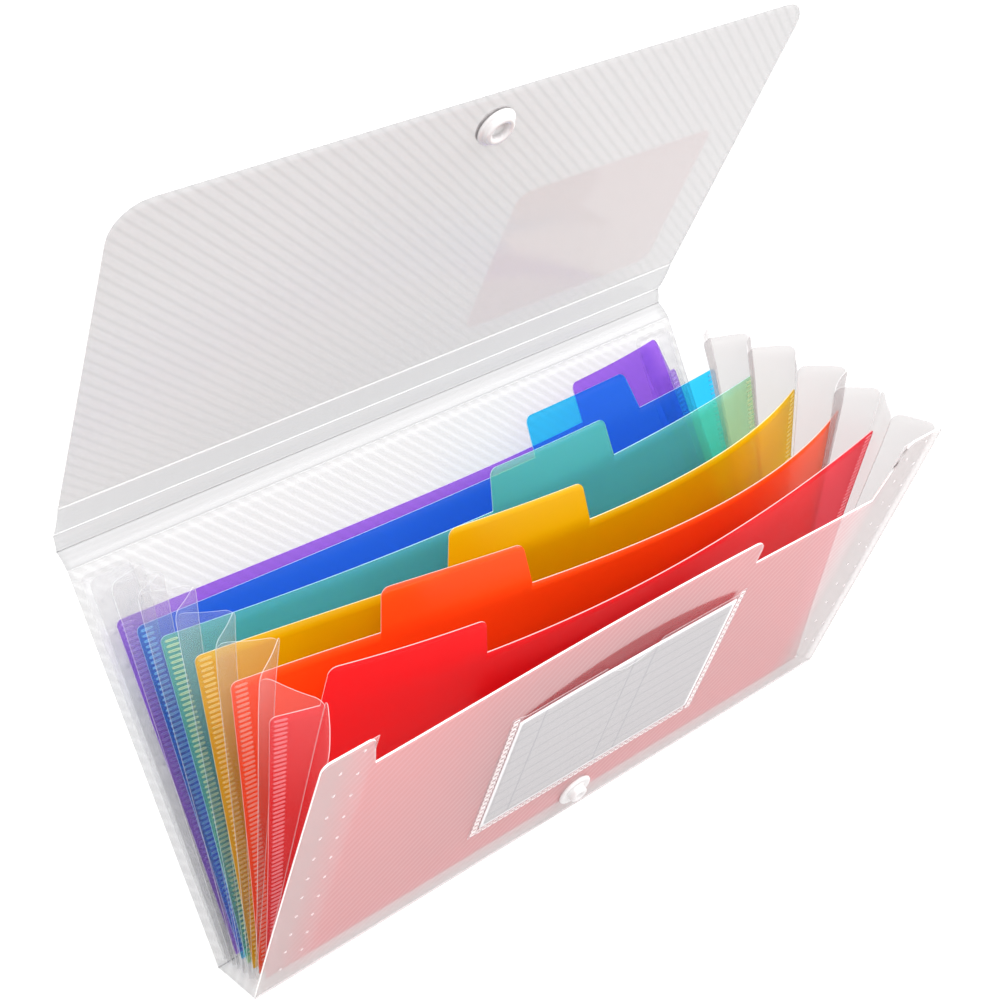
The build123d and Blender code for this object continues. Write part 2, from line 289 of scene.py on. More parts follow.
# rounded box: one inside, nought outside, soft over the given width, all in metres of the flat sheet
def makeBoxGroup():
    group, given, result = newGroup("roundedBox", {
        "Flat": None, "Centre U": 0.0, "Centre V": 0.0, "Half U": 0.1, "Half V": 0.1, "Corner": 0.005, "Soft": 0.0003},
        ["Inside", "Border"])
    parts = node(group, "ShaderNodeSeparateXYZ", {0: given["Flat"]}).outputs
    past = []
    for axis, part in (("U", parts["X"]), ("V", parts["Y"])):
        away = calc(group, "ABSOLUTE", calc(group, "SUBTRACT", part, given["Centre " + axis]))
        room = calc(group, "SUBTRACT", given["Half " + axis], given["Corner"])
        past.append(calc(group, "MAXIMUM", calc(group, "SUBTRACT", away, room), 0.0))
    square = calc(group, "MULTIPLY", past[0], past[0])
    reach = calc(group, "SQRT", calc(group, "MULTIPLY_ADD", past[1], past[1], square))
    outside = calc(group, "DIVIDE", calc(group, "SUBTRACT", reach, given["Corner"]), given["Soft"])
    group.links.new(calc(group, "SUBTRACT", 0.5, outside, clamp=True), result["Inside"])
    border = calc(group, "SUBTRACT", 1.0, calc(group, "ABSOLUTE", outside), clamp=True)
    group.links.new(border, result["Border"])
    return group


lineGroup = makeLineGroup()
frostGroup = makeFrostGroup()
boxGroup = makeBoxGroup()


def placeGroup(tree, group, **values):
    values = {key.replace("_", " "): value for key, value in values.items()}
    return node(tree, "ShaderNodeGroup", values, node_tree=group).outputs


def flatUv(tree):
    return node(tree, "ShaderNodeUVMap", uv_map="flat").outputs[0]


# a rounded box on the flat sheet, in millimetres from the middle of its foot
def flatBox(tree, centreU, centreV, halfU, halfV, corner, soft):
    return placeGroup(tree, boxGroup, Flat=flatUv(tree), Centre_U=(halfWidth + centreU) * mm, Centre_V=centreV * mm,
                      Half_U=halfU * mm, Half_V=halfV * mm, Corner=corner * mm, Soft=soft * mm)


noiseSpan = (0.3, 0.7)  # where most of a noise lies


def scaled(tree, value, span, target):
    return node(tree, "ShaderNodeMapRange", {"Value": value, "From Min": span[0], "From Max": span[1],
                                             "To Min": target[0], "To Max": target[1]}).outputs["Result"]


def blendColour(tree, share, a, b):
    a, b = (c if hasattr(c, "is_linked") else (*c, 1.0) for c in (a, b))
    return node(tree, "ShaderNodeMix", {"Factor": share, 6: a, 7: b}, data_type="RGBA").outputs[2]


def bump(tree, height, depth):
    return node(tree, "ShaderNodeBump", {"Height": height, "Strength": 1.0, "Distance": depth * mm}).outputs["Normal"]


def newMaterial(name, **values):
    material = bpy.data.materials.new(name)
    material.use_nodes = True
    tree = material.node_tree
    shader = tree.nodes["Principled BSDF"]
    feed(tree, shader, **values)
    return material, tree, shader


def feed(tree, shader, **values):
    for key, value in values.items():
        give(tree, shader.inputs[key.replace("_", " ")], value)


# what feeds a socket now, so that more can be put in between
def feeder(shader, label):
    return shader.inputs[label].links[0].from_socket


white = (1.0, 1.0, 1.0)
plasticIor = 1.49


# share of light that one face of a thin sheet lets by, so that two faces give the whole
def oneFace(whole):
    return float(np.sqrt(whole))


# lets light straight through the sheet: tinted transparent mixed with the shader
def letThrough(tree, shader, clear, tint=white):
    through = node(tree, "ShaderNodeBsdfTransparent", {"Color": (*[oneFace(t) for t in tint], 1.0)}).outputs[0]
    mixed = node(tree, "ShaderNodeMixShader", {"Fac": 1 - oneFace(clear), 1: through, 2: shader.outputs[0]})
    tree.links.new(mixed.outputs[0], tree.nodes["Material Output"].inputs["Surface"])


def toned(colour, share, added=0.0):
    return tuple(min(1.0, added + share * c) for c in colour)


# cover sheet: clear frosted plastic with embossed lines
# linePitch and lineDepth in millimetres, lineTurn in radians, lineTone and lineWide as shares
cover = {"rough": (0.29, 0.40), "coat": 0.25, "coatRough": 0.12, "cloudSize": 9.0, "grainSize": 1400.0,
         "edgeColour": (0.95, 0.95, 0.95), "edgeClear": 0.04, "line": white, "lineWide": 0.32}
coverLooks = {
    "Frost": {"colour": (0.33, 0.32, 0.325), "cloud": (0.37, 0.36, 0.365), "clear": 0.45,
              "linePitch": 3.3, "lineTurn": 0.785, "lineDepth": 0.005, "lineTone": 0.2},
    "Crease": {"colour": (0.205, 0.20, 0.21), "cloud": (0.25, 0.245, 0.255), "clear": 0.45,
               "linePitch": 2.0, "lineTurn": 1.571, "lineDepth": 0.004, "lineTone": 0.08},
    "Flap": {"colour": (0.37, 0.353, 0.353), "cloud": (0.415, 0.393, 0.393), "clear": 0.38,
             "linePitch": 3.3, "lineTurn": 0.785, "lineDepth": 0.004, "lineTone": 0.42,
             "line": (0.13, 0.12, 0.125), "lineWide": 0.27},
    # the front's pink is painted red glow from the red divider behind the frost
    "Front": {"colour": (0.66, 0.39, 0.40), "cloud": (0.70, 0.43, 0.44), "clear": 0.34,
              "linePitch": 3.0, "lineTurn": -0.785, "lineDepth": 0.005, "lineTone": 0.16},
}


def coverMaterial(kind):
    look = {**cover, **coverLooks[kind]}
    material, tree, shader = newMaterial("cover" + kind, IOR=plasticIor, Coat_Weight=look["coat"],
                                         Coat_Roughness=look["coatRough"])
    frost = placeGroup(tree, frostGroup, Cloud_Size=look["cloudSize"], Grain_Size=look["grainSize"])
    base = blendColour(tree, frost["Cloud"], look["colour"], look["cloud"])
    lines = placeGroup(tree, lineGroup, Flat=flatUv(tree), Turn=look["lineTurn"], Pitch=look["linePitch"],
                       Width=look["lineWide"] * look["linePitch"])["Line"]
    lined = blendColour(tree, scaled(tree, lines, (0, 1), (0, look["lineTone"])), base, look["line"])
    feed(tree, shader, Base_Color=lined, Roughness=scaled(tree, frost["Cloud"], noiseSpan, look["rough"]),
         Normal=bump(tree, lines, look["lineDepth"]))
    letThrough(tree, shader, look["clear"])
    return material, tree, shader


# cut edges, weld rings and weld dots: paler than their sheet
edge = {"rough": (0.29, 0.42), "cloudSize": 60.0, "grainSize": 1500.0, "cloudShare": 1.08}


def edgeMaterial(name, colour, clear):
    material, tree, shader = newMaterial(name, IOR=plasticIor)
    frost = placeGroup(tree, frostGroup, Cloud_Size=edge["cloudSize"], Grain_Size=edge["grainSize"])
    feed(tree, shader, Base_Color=blendColour(tree, frost["Cloud"], colour, toned(colour, edge["cloudShare"])),
         Roughness=scaled(tree, frost["Grain"], noiseSpan, edge["rough"]))
    letThrough(tree, shader, clear)
    return material


coverMat = coverMaterial("Frost")[0]
stripMat = coverMaterial("Crease")[0]
coverEdge = edgeMaterial("coverCutEdge", cover["edgeColour"], cover["edgeClear"])


def coverPiece(name, sheet, flat, quads, lift, body, material, cadNode):
    piece = makeSheet(name, place(sheet, flat, lift), quads, flat, folder["coverThick"])
    settle(piece, body, "cover", [material, coverEdge], cadNode)


# base, back and the three fold strips: plain rectangles between crease lines
panel = {"columns": 66, "rows": 40, "stripRows": 8}
strips = {
    "rear": {"length": 7.0, "lean": 46.0, "crown": 0.35},
    "mid": {"length": 5.7, "lean": -1.2, "crown": 0.3},
    "top": {"length": 13.6, "lean": -33.3, "crown": 0.4},
}
panelX = np.linspace(-halfWidth, halfWidth, panel["columns"])
flat, quads = oneTier(panelX, -folder["depth"] / 2, panelX, folder["depth"] / 2, panel["stripRows"])
coverPiece("basePanel", sheetFrame((0.0, 0.0, halfCover), -90.0), flat, quads, 0.0, "base", coverMat, "base_panel")
flat, quads = oneTier(panelX, 0.0, panelX, folder["backHeight"], panel["rows"])
coverPiece("backPanel", wallFrame(0), flat, quads, 0.0, "back", coverMat, "back_panel")

foldPoint = wallFoot(0) + wallFrame(0)["up"] * folder["backHeight"]
for label, strip in strips.items():
    sheet = sheetFrame(foldPoint, strip["lean"])
    flat, quads = oneTier(panelX, 0.0, panelX, strip["length"], panel["stripRows"])
    lift = strip["crown"] * np.sin(np.pi * flat[:, 1] / strip["length"])  # a half wave from crease to crease
    coverPiece("foldStrip" + label.capitalize(), sheet, flat, quads, lift, "strip_" + label, stripMat,
               "fold_strip_" + label)
    foldPoint = foldPoint + sheet["up"] * strip["length"]
print("cover strips done")

# flap: rectangle with two rounded top corners and a smooth pressed window, given as its corner and size
flap = {"length": 126.5, "lean": -33.3, "corner": 12.0, "snap": (0.0, 112.2),
        "window": (24.0, 10.5, 88.0, 65.0), "windowCorner": 5.0, "windowSoft": 0.5, "windowRim": 1.5,
        "windowColour": (0.32, 0.225, 0.225), "windowRough": 0.12}


# window = no lines, a smoother face, its own colour, and a raised rim round it
def flapMaterial():
    material, tree, shader = coverMaterial("Flap")
    startU, startV, wide, high = flap["window"]
    window = flatBox(tree, startU + wide / 2, startV + high / 2, wide / 2, high / 2,
                     flap["windowCorner"], flap["windowSoft"])
    inside = window["Inside"]
    smooth = node(tree, "ShaderNodeMix", {"Factor": inside, "A": feeder(shader, "Roughness"),
                                          "B": flap["windowRough"]})
    feed(tree, shader, Base_Color=blendColour(tree, inside, feeder(shader, "Base Color"), flap["windowColour"]),
         Roughness=smooth.outputs["Result"])
    bumpNode = feeder(shader, "Normal").node
    lines = calc(tree, "MULTIPLY", feeder(bumpNode, "Height"), calc(tree, "SUBTRACT", 1.0, inside))
    feed(tree, bumpNode, Height=calc(tree, "MULTIPLY_ADD", window["Border"], flap["windowRim"], lines))
    return material


flapFrame = sheetFrame(foldPoint, flap["lean"])
flapX = stations(-halfWidth, halfWidth, panel["columns"], flap["corner"])
flapTop = flap["length"] - cornerDrop(halfWidth - np.abs(flapX), flap["corner"])
flat, quads = oneTier(flapX, 0.0, flapX, flapTop, panel["rows"])
coverPiece("flapPanel", flapFrame, flat, quads, 0.0, "flap", flapMaterial(), "flap")

# front: body to the dip, a middle edge, then an ear at each side
# columns of left ear, middle, dip and right ear; rows of body, middle, left ear and right ear
front = {"dip": 105.0, "edge": 116.5, "leftEar": 20.7, "rightEar": 22.4, "slope": 0.18, "dipWide": 58.1,
         "earCorner": 3.0, "edgeCorner": 4.5, "twist": 2.2, "sag": 2.2, "grow": 1.4,
         "columns": (12, 44, 18, 12), "rows": (36, 5, 6, 10)}
# painted red glow from the red divider behind the frost, pink in the middle and paler at the margin; a deeper red lens
# above the card, a disc cut by a box
# each as centre, half sizes, corner and softness on the flat sheet
frontGlowAndLens = {"margin": (0.555, 0.505, 0.50), "middle": (-6.0, 76.0, 112.0, 68.0, 8.0, 12.0),
             "lensColour": (0.37, 0.0, 0.012), "disc": (5.0, -61.5, 160.0, 160.0, 160.0, 1.2),
             "box": (0.0, 84.0, 46.0, 16.0, 2.0, 1.2)}
frontFrame = wallFrame(frontWall)
earLeft = -halfWidth + front["leftEar"]
earRight = halfWidth - front["rightEar"]
dipLeft = earRight - front["dipWide"]


# lift = twist that fades from the left end to the right and a shallow sag in the middle, both growing up the sheet
def frontLift(flat):
    share = np.clip(flat[:, 1] / folder["frontHeight"], 0, 1) ** front["grow"]
    s = flat[:, 0] / halfWidth
    return share * (front["twist"] * (1 - s) / 2 - front["sag"] * (1 - s**2) ** 2)


# ear top = the ear's foot slanted outwards on its inner side, with both corners rounded
def earTop(x, foot, side):
    slant = (folder["frontHeight"] - foot) * front["slope"]
    inner = earLeft if side < 0 else earRight
    outer = side * halfWidth
    share = (x - outer) / (inner - outer)
    topX = x + side * slant * share
    innerTop = inner + side * slant
    near = np.minimum(np.abs(topX - outer), np.abs(topX - innerTop))
    return topX, folder["frontHeight"] - cornerDrop(near, front["earCorner"])


def frontMaterial():
    material, tree, shader = coverMaterial("Front")
    # painted red glow: pink inside the middle box, the margin colour outside it; then the deeper red lens
    middle, disc, box = (flatBox(tree, *frontGlowAndLens[part])["Inside"] for part in ("middle", "disc", "box"))
    faded = blendColour(tree, middle, frontGlowAndLens["margin"], feeder(shader, "Base Color"))
    dark = blendColour(tree, disc, faded, frontGlowAndLens["lensColour"])
    feed(tree, shader, Base_Color=blendColour(tree, box, faded, dark))
    return material


leftColumns, midColumns, dipColumns, rightColumns = front["columns"]
leftX = stations(-halfWidth, earLeft, leftColumns, front["earCorner"])
midX = stations(earLeft, dipLeft, midColumns, front["edgeCorner"])
dipX = np.linspace(dipLeft, earRight, dipColumns)
rightX = stations(earRight, halfWidth, rightColumns, front["earCorner"])
frontX = np.concatenate([leftX, midX[1:], dipX[1:], rightX[1:]])
midEnd, rightStart = len(leftX) + len(midX) - 1, len(frontX) - len(rightX)
midTop = front["edge"] - cornerDrop(dipLeft - frontX[:midEnd], front["edgeCorner"])
bodyRows, midRows, leftRows, rightRows = front["rows"]
flat, quads = stackTiers(frontX, 0.0, [
    ("body", "foot", slice(None), frontX, front["dip"], bodyRows),
    ("mid", "body", slice(0, midEnd), frontX[:midEnd], midTop, midRows),
    ("leftEar", "mid", slice(0, len(leftX)), *earTop(leftX, front["edge"], -1), leftRows),
    ("rightEar", "body", slice(rightStart, None), *earTop(rightX, front["dip"], 1), rightRows)])
coverPiece("frontPanel", frontFrame, flat, quads, frontLift(flat), "front", frontMaterial(), "front_panel")
print("front and flap done")

# dividers: one coloured sheet per wall, bowed forward, each with a tab and a ladder of weld rings up each side margin
divider = {"side": 124.0, "foot": 3.0, "top": 117.0, "corner": 2.0, "thick": 0.35, "grow": 1.5, "flatten": 0.06,
           "tabRise": 13.7, "tabWide": 54.0, "tabCorner": 3.0, "firstTab": 88.0, "tabPitch": 34.3, "tabTaper": 1.5,
           "columnPitch": 4, "fewestColumns": 8, "tabColumns": 16, "rows": 30, "tabRows": 6,
           "rough": (0.29, 0.38), "coat": 0.05, "coatRough": 0.1, "specular": 0.35, "cloudSize": 14.0,
           "grainSize": 1200.0, "cloudShare": 0.9, "ripple": 0.15, "edgeTone": (0.55, 0.45), "edgeClear": 0.1,
           "ring": (3.6, 0.5, 0.4, 0.25), "ringPitch": 1.75, "ringInset": 3.0, "ringLow": 2.0, "ringHigh": 1.0,
           "ringTone": (0.62, 0.30), "ringClear": 0.4}
# bow: how far the top edge stands forward, as powers of the place along the sheet from -1 to 1
# tab: how far its two sides are moved along the sheet; curl: how far its top bends back
sheetsOf = {
    "purple": {"bow": (18.4, 7.2, -20.6, -9.8), "tab": (-3.5, 4.5), "curl": 2.0,
               "body": (0.36, 0.25, 0.66), "tint": (0.40, 0.15, 0.86), "clear": 0.86},
    "blue": {"bow": (11.8, 4.4, -9.7, -2.9), "tab": (0.0, -2.0), "curl": 2.5,
             "body": (0.14, 0.46, 0.78), "tint": (0.03, 0.60, 0.97), "clear": 0.87},
    "green": {"bow": (15.3, 4.5, -15.0, -0.6), "tab": (-3.0, -3.5), "curl": 0.5,
              "body": (0.11, 0.63, 0.66), "tint": (0.79, 0.87, 0.38), "clear": 0.53},
    "yellow": {"bow": (20.0, 14.8, -19.6, -10.5), "tab": (-2.0, -4.5), "curl": 0.5,
               "body": (0.83, 0.45, 0.0), "tint": (1.0, 0.77, 0.0), "clear": 0.25},
    "orange": {"bow": (17.8, 15.4, -17.2, -10.2), "tab": (-1.5, -5.5), "curl": 2.5,
               "body": (1.0, 0.085, 0.008), "tint": (1.0, 0.30, 0.12), "clear": 0.22},
    "red": {"bow": (15.7, 1.3, -15.0, 2.4), "tab": (0.5, -2.0), "curl": 0.0,
            "body": (0.83, 0.012, 0.020), "tint": (1.0, 0.10, 0.16), "clear": 0.36},
}


# lift = power series along the sheet times a climb from the foot to the top edge, less the curl of the tab above it
def dividerLift(bow, flat, curl=0.0):
    s = np.clip(flat[:, 0] / divider["side"], -1, 1)
    climb = np.clip((flat[:, 1] - divider["foot"]) / (divider["top"] - divider["foot"]), 0, 1) ** divider["grow"]
    above = np.clip((flat[:, 1] - divider["top"]) / divider["tabRise"], 0, 1)
    return climb * sum(c * s**power for power, c in enumerate(bow)) - curl * above


# gives the piece a mesh of its own
def flattenWithFan(piece):
    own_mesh(piece)


def dividerMaterial(name, look):
    material, tree, shader = newMaterial(name, IOR=plasticIor, Coat_Weight=divider["coat"],
                                         Coat_Roughness=divider["coatRough"], Specular_IOR_Level=divider["specular"])
    cloud = placeGroup(tree, frostGroup, Cloud_Size=divider["cloudSize"], Grain_Size=divider["grainSize"])["Cloud"]
    feed(tree, shader, Base_Color=blendColour(tree, cloud, toned(look["body"], divider["cloudShare"]), look["body"]),
         Roughness=scaled(tree, cloud, noiseSpan, divider["rough"]), Normal=bump(tree, cloud, divider["ripple"]))
    letThrough(tree, shader, look["clear"], look["tint"])
    return material


# flat divider = a body with rounded top corners, and a tapered tab with rounded corners on a stretch of its top
def flatDivider(tabLeft, tabRight):
    side, corner, tabCorner = divider["side"], divider["corner"], divider["tabCorner"]
    leftCount, rightCount = (max(divider["fewestColumns"], int(length / divider["columnPitch"]))
                             for length in (tabLeft + side, side - tabRight))
    leftX = stations(-side, tabLeft, leftCount, corner)
    tabX = stations(tabLeft, tabRight, divider["tabColumns"], tabCorner)
    rightX = stations(tabRight, side, rightCount, corner)
    dividerX = np.concatenate([leftX, tabX[1:], rightX[1:]])
    bodyTop = divider["top"] - cornerDrop(side - np.abs(dividerX), corner)
    middle = (tabLeft + tabRight) / 2
    tabTopX = middle + (tabX - middle) * (1 - 2 * divider["tabTaper"] / (tabRight - tabLeft))
    tabTop = divider["top"] + divider["tabRise"] - cornerDrop(np.minimum(tabX - tabLeft, tabRight - tabX), tabCorner)
    tabSpan = slice(len(leftX) - 1, len(leftX) - 1 + len(tabX))
    return stackTiers(dividerX, divider["foot"], [
        ("body", "foot", slice(None), dividerX, bodyTop, divider["rows"]),
        ("tab", "body", tabSpan, tabTopX, tabTop, divider["tabRows"])])


ring, ringFaces = ringTemplate(*divider["ring"])
ringLevel = np.arange(divider["foot"] + divider["ringLow"], divider["top"] - divider["ringHigh"], divider["ringPitch"])
for number, (colour, look) in enumerate(sheetsOf.items()):
    sheet, body = wallFrame(number + 1), "divider_" + colour
    centre = divider["firstTab"] - number * divider["tabPitch"]
    tabLeft, tabRight = (centre + way * divider["tabWide"] / 2 + move for way, move in zip((-1, 1), look["tab"]))
    flat, quads = flatDivider(tabLeft, tabRight)
    points = place(sheet, flat, dividerLift(look["bow"], flat, look["curl"]))
    piece = makeSheet("divider" + colour.capitalize(), points, quads, flat, divider["thick"])
    cutEdge = edgeMaterial(colour + "CutEdge", toned(look["body"], *divider["edgeTone"]), divider["edgeClear"])
    settle(piece, body, colour, [dividerMaterial(colour + "Sheet", look), cutEdge], body)
    flattenWithFan(piece)
    ringMat = edgeMaterial(colour + "Weld", toned(look["tint"], *divider["ringTone"]), divider["ringClear"])
    for side, sideName in sides:
        centres = pairs(side * (divider["side"] - divider["ringInset"]), ringLevel)
        rings = scatter("weld" + colour.capitalize() + sideName.capitalize(), sheet, centres, ring, ringFaces,
                        lambda f: dividerLift(look["bow"], f) + divider["thick"] / 2)
        settle(rings, body, colour, [ringMat])
        flattenWithFan(rings)
print("dividers done")

# gussets: two faces per pocket end that meet at an inner fold
gusset = {"height": 132.0, "foot": 1.6, "toe": 0.8, "thick": 0.25, "weldMargin": 3.6, "weldInset": 6.0,
          "weldOffset": 0.55, "slack": 4.0, "foldInset": 2.5, "foldStart": 0.1, "panelOffset": 0.825, "room": 0.15,
          "corner": 3.0, "bow": 0.5, "columns": 10, "rows": 24, "thinnest": 0.1}
# film: veil comes in between two heights in millimetres; shade is a greyer, duller copy of the film for the right end,
# painted shade for where it stands in its own shadow
filmLook = {"clear": 0.86, "colour": (0.08, 0.078, 0.08), "veil": (0.44, 0.43, 0.445), "veilSpan": (85.0, 127.0),
            "gloss": 0.25, "shadeClear": 0.50, "shadeColour": (0.35, 0.315, 0.315), "shadeGloss": 0.1, "shadeFrom": 3,
            "edgeColour": (0.90, 0.90, 0.91), "edgeClear": 0.5, "rough": (0.29, 0.36), "coatRough": 0.08,
            "cloudSize": 22.0, "grainSize": 1500.0, "cloudShare": 1.12, "ripple": 0.2}


# mouth = the gap between two walls at the gusset's top
def mouth(pocket):
    opening = np.radians(folder["leans"][pocket - 1] - folder["leans"][pocket])
    return wallPitch + 2 * gusset["height"] * np.sin(opening / 2)


pleat = max(mouth(pocket) for pocket in range(1, frontWall + 1)) / 2 + gusset["slack"]


# crease line beside a wall: its foot and its direction up the wall
def creaseBeside(index, side, inset, offset):
    sheet = wallFrame(index)
    foot = sheet["foot"] + np.array([side * (halfWidth - inset), 0, 0]) + sheet["out"] * offset
    return {"foot": foot, "up": sheet["up"], "lean": folder["leans"][index]}


# inner fold = the point at both reaches from the two crease tops, on the inward side
def innerFold(rear, rearReach, ahead, aheadReach, side):
    middle = sheetFrame((0, 0, 0), (rear["lean"] + ahead["lean"]) / 2)
    inward = np.array([-side, 0.0, 0.0])
    rearTop, aheadTop = (c["foot"] + c["up"] * gusset["height"] for c in (rear, ahead))
    step = aheadTop - rearTop
    run, shift = step @ middle["out"], step @ inward
    span = np.hypot(run, shift)
    along = (rearReach**2 - aheadReach**2 + span**2) / (2 * span)
    off = np.sqrt(rearReach**2 - along**2)
    return (rearTop + middle["out"] * (along * run - off * shift) / span
            + inward * (along * shift + off * run) / span + middle["up"] * (step @ middle["up"]) / 2)


# direction from a crease to the fold, square to the crease
def towardFold(crease, fold):
    reach = fold - crease["foot"] - crease["up"] * gusset["height"]
    reach = reach - crease["up"] * (reach @ crease["up"])
    return reach / np.linalg.norm(reach)


# reach = how far a face runs at a level before it meets the plane of the other face, less a little room
def reachAt(crease, toward, other, otherToward, level):
    normal = np.cross(otherToward, other["up"])
    start = crease["foot"] + crease["up"] * level
    return ((other["foot"] - start) @ normal) / (toward @ normal) - gusset["room"]


# film: clear below, with a pale veil that comes in towards the top edge where one is given
def filmMaterial(name, clear, colour, gloss=filmLook["gloss"], veil=None):
    material, tree, shader = newMaterial(name, IOR=plasticIor, Coat_Weight=gloss, Coat_Roughness=filmLook["coatRough"],
                                         Specular_IOR_Level=2 * gloss)
    cloud = placeGroup(tree, frostGroup, Cloud_Size=filmLook["cloudSize"], Grain_Size=filmLook["grainSize"])["Cloud"]
    base = blendColour(tree, cloud, colour, toned(colour, filmLook["cloudShare"]))
    if veil:
        height = node(tree, "ShaderNodeSeparateXYZ", {0: flatUv(tree)}).outputs["Y"]
        low, high = filmLook["veilSpan"]
        base = blendColour(tree, scaled(tree, height, (low * mm, high * mm), (0, 1)), base, veil)
    feed(tree, shader, Base_Color=base, Roughness=scaled(tree, cloud, noiseSpan, filmLook["rough"]),
         Normal=bump(tree, cloud, filmLook["ripple"]))
    letThrough(tree, shader, clear)
    return material


# how far a wall's end stands out of its own plane at each level, as points
def endShift(wall, side, level):
    end = pairs(side * (halfWidth if wall == frontWall else divider["side"]), level)
    if wall == 0:
        lift = np.zeros_like(level)
    elif wall == frontWall:
        lift = frontLift(end)
    else:
        lift = dividerLift(sheetsOf[folder["walls"][wall]]["bow"], end)
    return np.outer(lift, wallFrame(wall)["out"])


# face = its flat sheet, plus a slight bow, plus the shift of its own wall's end
# that shift fades to the mean of both walls' at the fold
def gussetFace(crease, toward, outer, ends, side, ownWall, otherWall, name, material, cadNode):
    low, high = ends
    toe = outer + gusset["toe"]
    climb = (gusset["height"] - gusset["foot"]) / (high - low)
    toeLevel = max(gusset["foot"], gusset["foot"] + (toe - low) * climb)
    toeReach = low + (toeLevel - gusset["foot"]) / climb
    topU = stations(outer, high, gusset["columns"], gusset["corner"])
    footU = outer + (topU - outer) / (high - outer) * (toeReach - outer)
    topV = gusset["height"] - cornerDrop(np.minimum(topU - outer, high - topU), gusset["corner"])
    flat, quads = oneTier(footU, toeLevel, topU, topV, gusset["rows"])
    sheet = {"foot": crease["foot"], "across": toward, "up": crease["up"], "out": np.cross(toward, crease["up"])}
    climbed = np.clip((flat[:, 1] - toeLevel) / (gusset["height"] - toeLevel), 0, 1)
    wide = np.maximum(toeReach + climbed * (high - toeReach), gusset["thinnest"])
    part = np.clip(flat[:, 0] / wide, 0, 1)
    lift = gusset["bow"] * np.sin(np.pi * part) * climbed
    own, other = (endShift(wall, side, flat[:, 1]) for wall in (ownWall, otherWall))
    points = place(sheet, flat, lift) + own + (other - own) * (part / 2)[:, None]
    piece = makeSheet("gussetFace" + name, points, quads, flat, gusset["thick"])
    settle(piece, cadNode, "gusset", [material, filmEdge], cadNode)
    flattenWithFan(piece)


clearFilm = filmMaterial("gussetClear", filmLook["clear"], filmLook["colour"], veil=filmLook["veil"])
shadeFilm = filmMaterial("gussetShade", filmLook["shadeClear"], filmLook["shadeColour"], filmLook["shadeGloss"])
filmEdge = edgeMaterial("gussetCutEdge", filmLook["edgeColour"], filmLook["edgeClear"])
levels = (gusset["foot"], gusset["height"])
for side, sideName in sides:
    ahead = creaseBeside(frontWall, side, gusset["foldInset"], -gusset["panelOffset"])
    for pocket in range(frontWall, 0, -1):
        if pocket == 1:
            rear, margin = creaseBeside(0, side, gusset["foldInset"], gusset["panelOffset"]), 0.0
        else:
            rear = creaseBeside(pocket - 1, side, gusset["weldInset"], gusset["weldOffset"])
            margin = gusset["weldMargin"]
        fold = innerFold(rear, pleat - margin, ahead, pleat, side)
        rearToward, aheadToward = towardFold(rear, fold), towardFold(ahead, fold)
        rearEnds = [reachAt(rear, rearToward, ahead, aheadToward, level) for level in levels]
        aheadEnds = [reachAt(ahead, aheadToward, rear, rearToward, level) for level in levels]
        stem, label = "gusset_" + sideName + "_" + str(pocket), sideName.capitalize() + str(pocket)
        # the right end's pockets from shadeFrom on take the greyer film: painted shade
        material = shadeFilm if side > 0 and pocket >= filmLook["shadeFrom"] else clearFilm
        gussetFace(rear, rearToward, -margin, rearEnds, side, pocket - 1, pocket,
                   label + "Rear", material, stem + "_rear")
        gussetFace(ahead, aheadToward, gusset["foldStart"], aheadEnds, side, pocket, pocket - 1,
                   label + "Front", material, stem + "_front")
        ahead = {"foot": rear["foot"] - rearToward * margin, "up": rear["up"], "lean": rear["lean"]}

# weld strips: flat bands inside the back and front, held by two staggered rows of weld dots
band = {"wide": 17.0, "short": 2.0, "columns": 8, "rows": 30, "clear": 0.68,
        # the front bands' pink is painted red glow from the red divider behind; the back bands keep the film's own
        # pale colour
        "back": ("weldBandBack", (0.93, 0.93, 0.95)), "front": ("weldBand", (0.70, 0.62, 0.62)),
        "dot": (0.7, 0.3), "dotColour": (0.90, 0.86, 0.86), "dotClear": 0.55, "dotLow": 12.0, "dotHigh": 6.0,
        "dotPitch": 11.0, "rowApart": 7.0}
dotMat = edgeMaterial("weldDot", band["dotColour"], band["dotClear"])
dot, dotFaces = dotTemplate(*band["dot"])
bandTop = gusset["height"] - band["short"]
dotLevel = np.arange(band["dotLow"], gusset["height"] - band["dotHigh"], band["dotPitch"])
for wall, body, facing in ((0, "back", 1), (frontWall, "front", -1)):
    sheet = wallFrame(wall)
    bandName, bandColour = band[body]
    bandMat = filmMaterial(bandName, band["clear"], bandColour)
    wallLift = frontLift if wall == frontWall else lambda f: np.zeros(len(f))
    for side, sideName in sides:
        outer = side * (halfWidth - gusset["foldInset"])
        inner = outer - side * band["wide"]
        bandX = np.linspace(min(outer, inner), max(outer, inner), band["columns"])
        flat, quads = oneTier(bandX, gusset["foot"], bandX, bandTop, band["rows"])
        lift = facing * (halfCover + gusset["thick"] / 2) + wallLift(flat)
        label = body.capitalize() + sideName.capitalize()
        piece = makeSheet("weldBand" + label, place(sheet, flat, lift), quads, flat, gusset["thick"])
        settle(piece, body, "gusset", [bandMat, filmEdge], "weld_strip_" + body + "_" + sideName)
        middle = (outer + inner) / 2
        rowAway, stagger = band["rowApart"] / 2, band["dotPitch"] / 2
        centres = np.vstack([pairs(middle - rowAway, dotLevel), pairs(middle + rowAway, dotLevel + stagger)])
        dots = scatter("weldDots" + label, sheet, centres, dot, dotFaces,
                       lambda f: wallLift(f) - facing * halfCover, -facing)
        settle(dots, body, "gusset", [dotMat])
print("gussets done")

